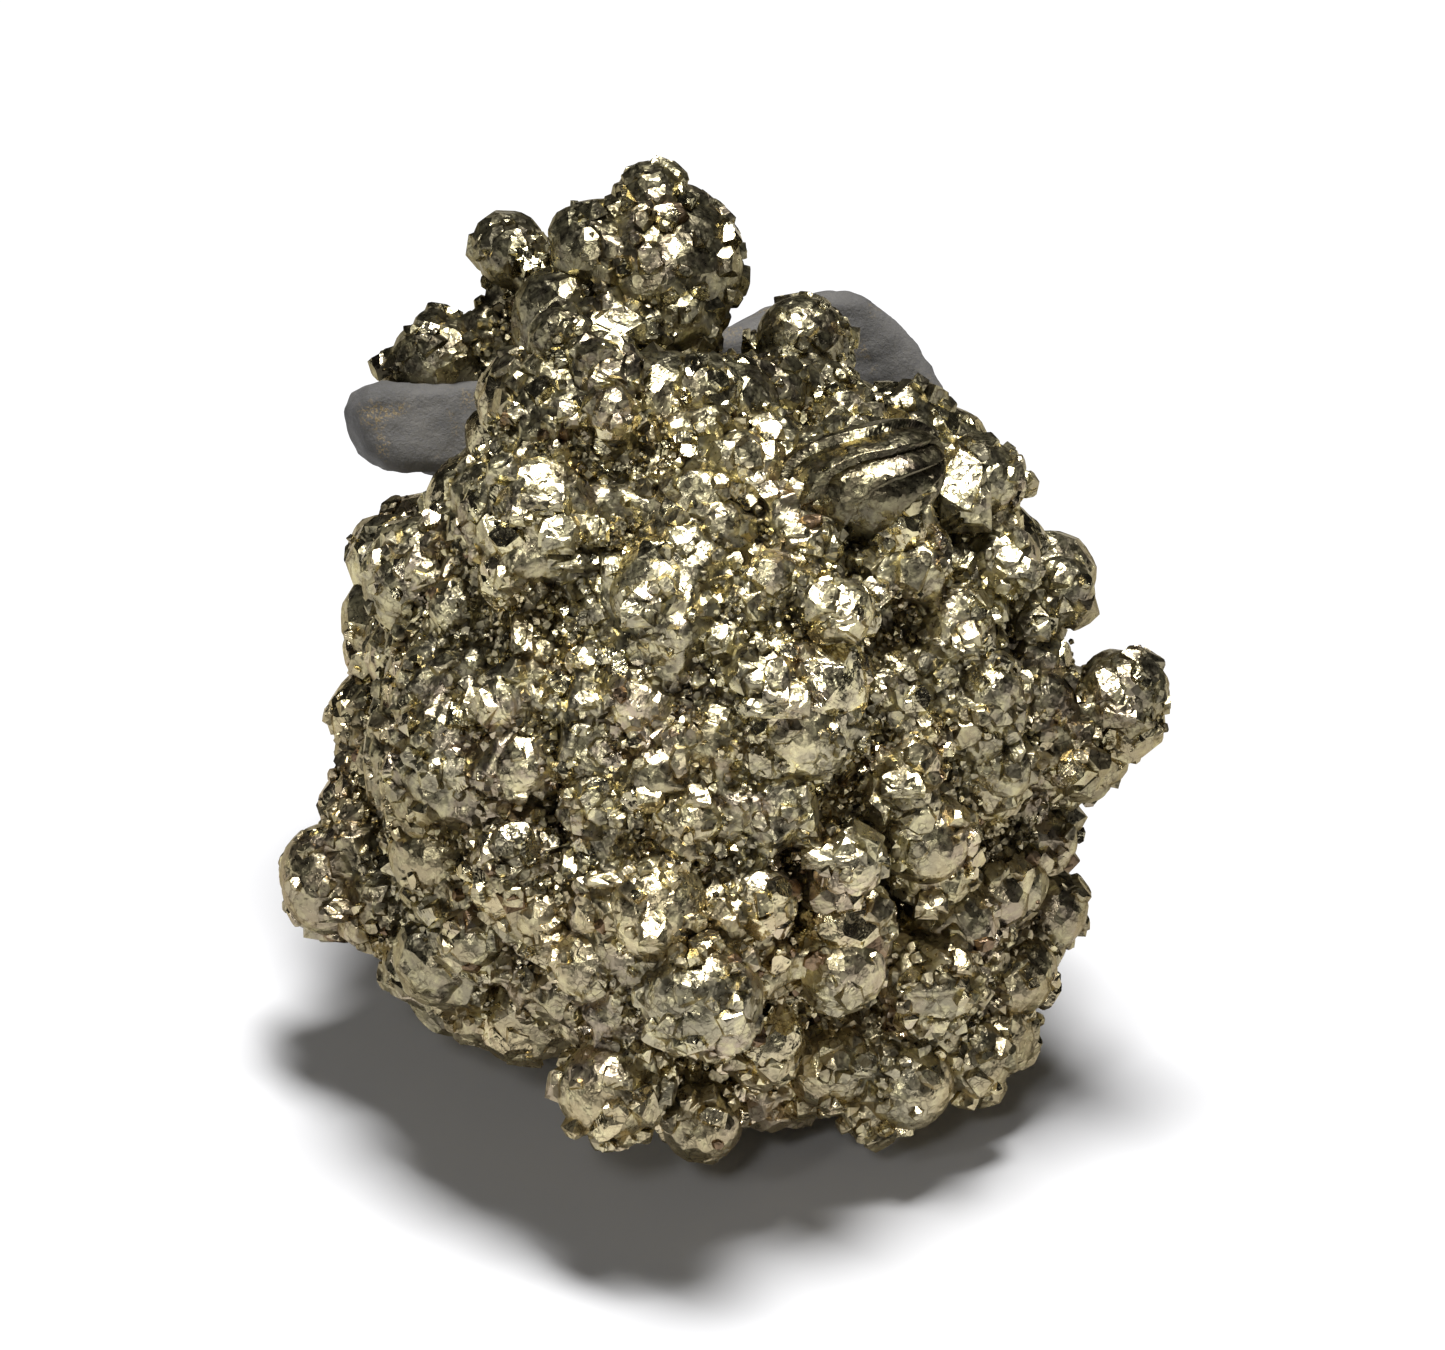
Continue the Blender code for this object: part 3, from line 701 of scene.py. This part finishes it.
# The crystals that clad the pyrite: flat-faced plates on the swelling sides of the lumps and
# on the knobs, small sharp near-cubes in the hollows between them, and grains among the cubes,
# all of the same iron sulphide, grown in place and sunk in the skin up to their waists.
PLATE_SPACING = 1.50 * MM
PLATE_MOST, PLATE_FALL = 0.85, 0.8
PLATE_HALF_WIDTH = (0.35 * MM, 1.00 * MM)
PLATE_TILT = 0.09
PLATE_LENGTH = (0.6, 1.0)
PLATE_THICKNESS = 0.8
PLATE_LIFT, PLATE_ROOT, PLATE_UNEVEN = 0.07 * MM, 0.30, 0.05 * MM
PLATE_OVERLAP, LEAF_OVERLAP = 0.1 * MM, 0.05 * MM
CUBE_RISE = 0.25 * MM
# A skew over one makes the small ones of a kind the more common.
PLATE_SKEW, CUBE_SKEW, GRAIN_SKEW = 1.8, 2.0, 1.5
LEAF_SPACING = 1.75 * MM
CUBE_SPACING = 0.92 * MM
CUBE_LEAST, CUBE_CLIMB = 0.10, 0.75
CUBE_HALF_WIDTH = (0.26 * MM, 0.62 * MM)
CUBE_SINK = 0.35
GRAIN_SPACING = 0.66 * MM
GRAIN_LEAST, GRAIN_CLIMB = 0.02, 0.6
GRAIN_HALF_WIDTH = (0.12 * MM, 0.24 * MM)
GRAIN_LIFT = 0.1 * MM
GROUND_LIFT = 0.3 * MM
SHAPES_OF_EACH = 12
GRAIN_SHAPES = 4
# The cuts of each shape: how its planes lean, and how far they lie from its middle.
PLATE_SIDES = (4, 7)
TOP_TIP, TOP_AT = 0.06, 0.42
RIM_REACH, RIM_RISE, RIM_AT = (0.8, 1.05), (0.35, 0.6), 0.92
BEVEL_TURN, BEVEL_RISE, BEVEL_AT = (0.2, 0.8), 1.6, 0.74
CORNER_CUTS, CORNER_AT = 5, (0.62, 0.95)
EDGE_CUTS, EDGE_AT = 2, (0.8, 0.95)
GRAIN_CORNER_AT = 1.15
FIVE_SIDED_LEAN, FIVE_SIDED_AT = 0.5, (0.85, 1.0)


def plate_shape():
    """A flat-topped shape, one unit half wide: a top face, two rings of bevels, a blunt foot."""
    sides = rng.integers(*PLATE_SIDES)
    turn = rng.uniform(0, 2 * math.pi)
    planes = [((rng.normal(0, TOP_TIP), rng.normal(0, TOP_TIP), 1.0), TOP_AT)]
    for i in range(sides):
        angle = turn + 2 * math.pi * (i + rng.uniform(-0.25, 0.25)) / sides
        reach = rng.uniform(*RIM_REACH)
        planes.append(((math.cos(angle), math.sin(angle), rng.uniform(*RIM_RISE)), reach * RIM_AT))
        if i % 2 == 0:
            lean = angle + rng.uniform(*BEVEL_TURN)
            bevel = (math.cos(lean), math.sin(lean), BEVEL_RISE)
            planes.append((bevel, BEVEL_AT * rng.uniform(0.9, 1.1)))
    return cut_block(planes, 1.0)


def cube_shape():
    """A near-cube, one unit half wide: its corners and some edges cut at different depths."""
    planes = []
    for corner in rng.permutation(list(np.ndindex(2, 2, 2)))[:CORNER_CUTS]:
        normal = 2 * np.array(corner) - 1
        planes.append((normal, math.sqrt(3) * rng.uniform(*CORNER_AT)))
    for _ in range(EDGE_CUTS):
        edge = rng.permutation([1.0, 0.9, 0.0]) * rng.choice([-1, 1], 3)
        planes.append((edge, math.sqrt(2) * rng.uniform(*EDGE_AT)))
    return cut_block(planes, 1.0)


def grain_shape():
    """A tiny sharp block, one unit half wide: three of its corners cut off."""
    planes = [(normal, GRAIN_CORNER_AT) for normal in ((1, 1, 1), (-1, 1, 1), (1, -1, 1))]
    return cut_block([(normal, at * rng.uniform(0.85, 1.1)) for normal, at in planes], 1.0)


def twelve_faced_shape():
    """A body of twelve five-sided faces, each normal leaning from one axis towards the next."""
    planes = []
    for axis in range(3):
        for side, lean in ((1, 1), (1, -1), (-1, 1), (-1, -1)):
            normal = np.zeros(3)
            normal[axis] = side
            normal[(axis + 1) % 3] = FIVE_SIDED_LEAN * lean
            planes.append((normal, rng.uniform(*FIVE_SIDED_AT)))
    return cut_block(planes, 1.3)


plate_shapes = [plate_shape() for _ in range(SHAPES_OF_EACH)]
cube_shapes = [cube_shape() for _ in range(SHAPES_OF_EACH)]
grain_shapes = [grain_shape() for _ in range(GRAIN_SHAPES)]
cube_shapes += [twelve_faced_shape() for _ in range(SHAPES_OF_EACH // 2)]

place, normal, hollow_here = places_on_skin(
    PLATE_SPACING, lambda h: PLATE_MOST - PLATE_FALL * drusy(h)
)
place = place + normal * GROUND_LIFT
leaves = (4 * math.pi * (knob_radius / LEAF_SPACING) ** 2).astype(int)
leaves[leafy_knobs:] = 0
lean_out = unit(rng.normal(size=(leaves.sum(), 3)))
on_knob = np.repeat(knob_middle, leaves, axis=0) + lean_out * np.repeat(knob_radius, leaves)[:, None]
outside = off_knobs(on_knob, -LEAF_OVERLAP)
place = np.concatenate([place, on_knob[outside]])
normal = np.concatenate([normal, lean_out[outside]])
hollow_here = np.concatenate([hollow_here, np.zeros(outside.sum())])
keep = off_knobs(place, -PLATE_OVERLAP) & (place[:, 2] > CLEAR_OF_FLOOR)
place, normal, hollow_here = place[keep], normal[keep], hollow_here[keep]
half = spread(PLATE_HALF_WIDTH, len(place), PLATE_SKEW)
rise = PLATE_LIFT - PLATE_ROOT * half + rng.normal(0, PLATE_UNEVEN, len(place))
grow_crystals(
    "pyrite_plates",
    plate_shapes,
    place + normal * rise[:, None],
    frames_about(normal, PLATE_TILT),
    np.stack([half, half * spread(PLATE_LENGTH, len(place)), half * PLATE_THICKNESS], axis=1),
    rng.random(len(place)),
    hollow_here,
)

place, normal, hollow_here = places_on_skin(
    CUBE_SPACING, lambda h: CUBE_LEAST + CUBE_CLIMB * drusy(h)
)
place = place + normal * (CUBE_RISE * rng.random(len(place)))[:, None]
keep = off_knobs(place, 0.0)
place, normal, hollow_here = place[keep], normal[keep], hollow_here[keep]
half = spread(CUBE_HALF_WIDTH, len(place), CUBE_SKEW)
grow_crystals(
    "pyrite_cubes",
    cube_shapes,
    place - normal * (CUBE_SINK * half)[:, None],
    frames_about(normal, FREE_TILT),
    half[:, None] * np.ones(3),
    rng.random(len(place)),
    hollow_here,
)

place, normal, hollow_here = places_on_skin(
    GRAIN_SPACING, lambda h: GRAIN_LEAST + GRAIN_CLIMB * drusy(h)
)
place = place + normal * GROUND_LIFT
half = spread(GRAIN_HALF_WIDTH, len(place), GRAIN_SKEW)
grow_crystals(
    "pyrite_grains",
    grain_shapes,
    place + normal * GRAIN_LIFT,
    frames_about(normal, FREE_TILT),
    half[:, None] * np.ones(3),
    rng.random(len(place)),
    hollow_here,
)

# The bright faces: larger crystals of the same pyrite, rooted in the lumps. Each is a few plates
# grown side by side that turn their clean flat tops up and forward, so they catch the lamp.
KEY_PLACE = (0.035, 0.03, 0.74)
VIEW_DISTANCE = 1.0
PLATES_IN_FACE = 3
FACE_SCATTER = 0.5
FACE_TURN = 0.07
FACE_LIFT = 0.30 * MM
FACE_THICKNESS, FACE_ROOT = 0.8, 0.35
FACE_TONE, FACE_HOLLOW = 0.3, 0.5
# Each one's column and row, and half its width and half its height in millimetres.
BRIGHT_FACES = [
    (957, 482, 1.25, 2.1), (836, 620, 0.9, 0.9), (1118, 700, 0.9, 0.85), (832, 854, 1.2, 0.6),
    (650, 920, 0.7, 1.15), (425, 562, 0.9, 0.9), (1000, 1000, 0.45, 0.45), (605, 374, 0.9, 0.7),
    (648, 592, 0.7, 0.7), (770, 676, 0.65, 1.0), (800, 535, 0.8, 0.5), (573, 414, 0.5, 0.6),
    (600, 532, 0.45, 0.7), (527, 512, 0.6, 0.85), (568, 562, 0.9, 0.5), (340, 908, 1.0, 0.5),
    (612, 318, 1.4, 1.0), (1030, 622, 0.7, 0.9), (962, 636, 0.65, 0.75), (720, 636, 0.6, 0.5),
    (740, 960, 0.6, 0.6), (560, 930, 0.7, 0.8), (620, 1070, 0.6, 0.5), (860, 1060, 0.6, 0.5),
    (930, 900, 0.6, 0.7), (505, 960, 0.5, 0.6), (960, 960, 0.5, 0.7), (700, 790, 0.5, 0.5),
    (590, 700, 0.5, 0.5), (573, 862, 0.3, 0.8), (614, 874, 0.9, 0.35), (900, 778, 0.9, 0.6),
    (440, 712, 0.9, 0.55), (765, 705, 0.8, 0.4), (528, 632, 0.5, 1.1), (548, 500, 1.0, 0.9),
    (560, 530, 0.9, 0.8), (640, 610, 0.8, 0.9), (829, 605, 1.0, 1.0), (790, 690, 0.8, 0.9),
    (1110, 690, 0.7, 1.0), (660, 880, 0.9, 0.6), (960, 560, 0.7, 0.7), (1010, 560, 0.9, 0.8),
    (480, 700, 0.8, 0.8),
]

found = [(on_face(column, row), wide, high) for column, row, wide, high in BRIGHT_FACES]
found = [(hit, wide, high) for hit, wide, high in found if hit is not None]
found = [row for row in found for _ in range(PLATES_IN_FACE)]
place = np.array([hit for hit, wide, high in found])
half = np.array([(wide, high, FACE_THICKNESS * min(wide, high)) for hit, wide, high in found]) * MM
aside = rng.uniform(-FACE_SCATTER, FACE_SCATTER, (len(found), 2)) * half[:, :2]
place += aside[:, :1] * ACROSS + aside[:, 1:] * UP
to_lamp = unit(np.array(KEY_PLACE) - place)
to_eye = unit(np.array(FACE_MIDDLE) + OUT * VIEW_DISTANCE - place)
facing = unit(unit(to_lamp + to_eye) + rng.normal(0, FACE_TURN, place.shape))
side = unit(np.cross(np.cross(facing, ACROSS), facing))
grow_crystals(
    "pyrite_bright_faces",
    plate_shapes,
    place + OUT * FACE_LIFT - facing * half[:, 2:] * FACE_ROOT,
    np.stack([side, np.cross(facing, side), facing], axis=2),
    half,
    np.full(len(place), FACE_TONE),
    np.full(len(place), FACE_HOLLOW),
)

# The grey rock: a matte, fine-grained slab that the pyrite grew round. Its worn edges are soft,
# and a dusting of pyrite grains sticks to it.
ROCK_GRAIN = 0.28 * MM
ROCK_ROUNDING = 4
ROCK_WAVES = (0.12, 5.5 * MM)
ROCK_DENTS = (0.03, 1.4 * MM)
ROCK_SINK = 0.12
ROCK_DARK = (0.072, 0.069, 0.064, 1)
ROCK_PALE = (0.120, 0.114, 0.105, 1)
ROCK_SPECKS = (0.085, 0.082, 0.085, 1)
PYRITE_DUST = (0.26, 0.20, 0.11, 1)
ROCK_RELIEF = 0.12 * MM
# Its patterns, each by how many of its lumps there are to a millimetre.
MOTTLES, SAND, DUST_PATCHES, DUST_GRAINS, GRIT = 0.35, 5.0, 0.45, 7.0, 4.0
MOST_DUST = 0.8
DUST_METAL = 0.8
BARE_ROUGHNESS, DUSTED_ROUGHNESS = 0.72, 0.42


def rock_material():
    """Matte grey rock: soft mottling, a fine grain, and a bronze dusting in patches."""
    made = bpy.data.materials.new("grey_rock")
    made.use_nodes = True
    tree = made.node_tree
    shader = tree.nodes["Principled BSDF"]
    at = position_in_mm(tree)
    mottle = over_range(tree, noise(tree, at, MOTTLES, 3.0), 0.35, 0.65)
    colour = blend_colours(tree, mottle, ROCK_DARK, ROCK_PALE)
    grain = noise(tree, at, SAND, 4.0, 0.7)
    colour = blend_colours(tree, over_range(tree, grain, 0.48, 0.62, 0, 0.6), colour, ROCK_SPECKS)
    dusty = over_range(tree, noise(tree, at, DUST_PATCHES, 3.0), 0.56, 0.68)
    dust_grains = over_range(tree, noise(tree, at, DUST_GRAINS, 2.0), 0.5, 0.6)
    dust = maths(tree, "MULTIPLY", maths(tree, "MULTIPLY", dusty, MOST_DUST), dust_grains)
    colour = blend_colours(tree, dust, colour, PYRITE_DUST)
    tree.links.new(colour, shader.inputs["Base Color"])
    tree.links.new(maths(tree, "MULTIPLY", dust, DUST_METAL), shader.inputs["Metallic"])
    roughness = over_range(tree, dust, 0.0, MOST_DUST, BARE_ROUGHNESS, DUSTED_ROUGHNESS)
    tree.links.new(roughness, shader.inputs["Roughness"])
    normal = bump(tree, noise(tree, at, GRIT, 5.0, 0.7), ROCK_RELIEF)
    tree.links.new(normal, shader.inputs["Normal"])
    return made


rock_points, rock_quads = even_skin(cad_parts["grey_slab"], ROCK_GRAIN)
rock_points = smoothed(rock_points, rock_quads, ROCK_ROUNDING)
rock_normals = point_normals(rock_points, rock_quads)
wear = ROCK_WAVES[0] * ripples(rock_points, ROCK_WAVES[1])
wear = wear + ROCK_DENTS[0] * ripples(rock_points, ROCK_DENTS[1]) - ROCK_SINK
rock = add_piece(
    "grey_rock",
    np.clip(rock_points + rock_normals * (wear * MM)[:, None], cad_box[0], cad_box[1]),
    rock_quads.ravel(),
    np.full(len(rock_quads), 4),
    True,
)
rock.data.materials.append(rock_material())
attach(rock, "root")
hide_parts("grey_slab")

# Floor, lights and camera: a sheet of pale paper under soft lamps. The strongest lamp hangs almost
# overhead and gives the shadow, and three weak ones in front light the faces turned from it.
FLOOR_SIZE = 4.0
PAPER = (0.60, 0.60, 0.61, 1)
PAPER_ROUGHNESS = 0.9
ROOM_LIGHT = (0.016, 0.016, 0.016, 1)
FRAME_WIDTH = 79.475 * MM
SENSOR_WIDTH = 36.0
# Each lamp's name, place, width and height in metres, and watts.
LAMPS = (
    ("key", KEY_PLACE, (0.30, 0.20), 9.7),
    ("front_left", (-0.62, -0.92, 0.74), (0.12, 0.12), 1.1),
    ("beside_camera", (-0.16, -0.98, 0.74), (0.12, 0.12), 1.9),
    ("panel", (0.0, -1.25, 0.75), (1.7, 1.2), 1.0),
)
bpy.ops.mesh.primitive_plane_add(size=FLOOR_SIZE)
floor = bpy.context.object
floor.name = "floor"
paper = bpy.data.materials.new("paper")
paper.use_nodes = True
paper_shader = paper.node_tree.nodes["Principled BSDF"]
paper_shader.inputs["Base Color"].default_value = PAPER
paper_shader.inputs["Roughness"].default_value = PAPER_ROUGHNESS
floor.data.materials.append(paper)


def area_light(name, place, size, watts):
    """A soft lamp at the place, turned to the specimen."""
    light = bpy.data.lights.new(name, "AREA")
    light.shape = "RECTANGLE"
    light.size, light.size_y = size
    light.energy = watts
    lamp = bpy.data.objects.new(name, light)
    lamp.location = place
    aim = FACE_MIDDLE - Vector(place)
    lamp.rotation_euler = aim.to_track_quat("-Z", "Y").to_euler()
    bpy.context.scene.collection.objects.link(lamp)


for lamp in LAMPS:
    area_light(*lamp)

world = bpy.data.worlds.new("room")
world.use_nodes = True
world.node_tree.nodes["Background"].inputs["Color"].default_value = ROOM_LIGHT
bpy.context.scene.world = world

camera_data = bpy.data.cameras.new("camera")
camera = bpy.data.objects.new("camera", camera_data)
bpy.context.scene.collection.objects.link(camera)
camera.location = FACE_MIDDLE + Vector(OUT) * VIEW_DISTANCE
camera.rotation_euler = (-Vector(OUT)).to_track_quat("-Z", "Y").to_euler()
camera_data.sensor_width = SENSOR_WIDTH
camera_data.lens = SENSOR_WIDTH * VIEW_DISTANCE / FRAME_WIDTH
bpy.context.scene.camera = camera
bpy.context.scene.view_settings.view_transform = "Standard"
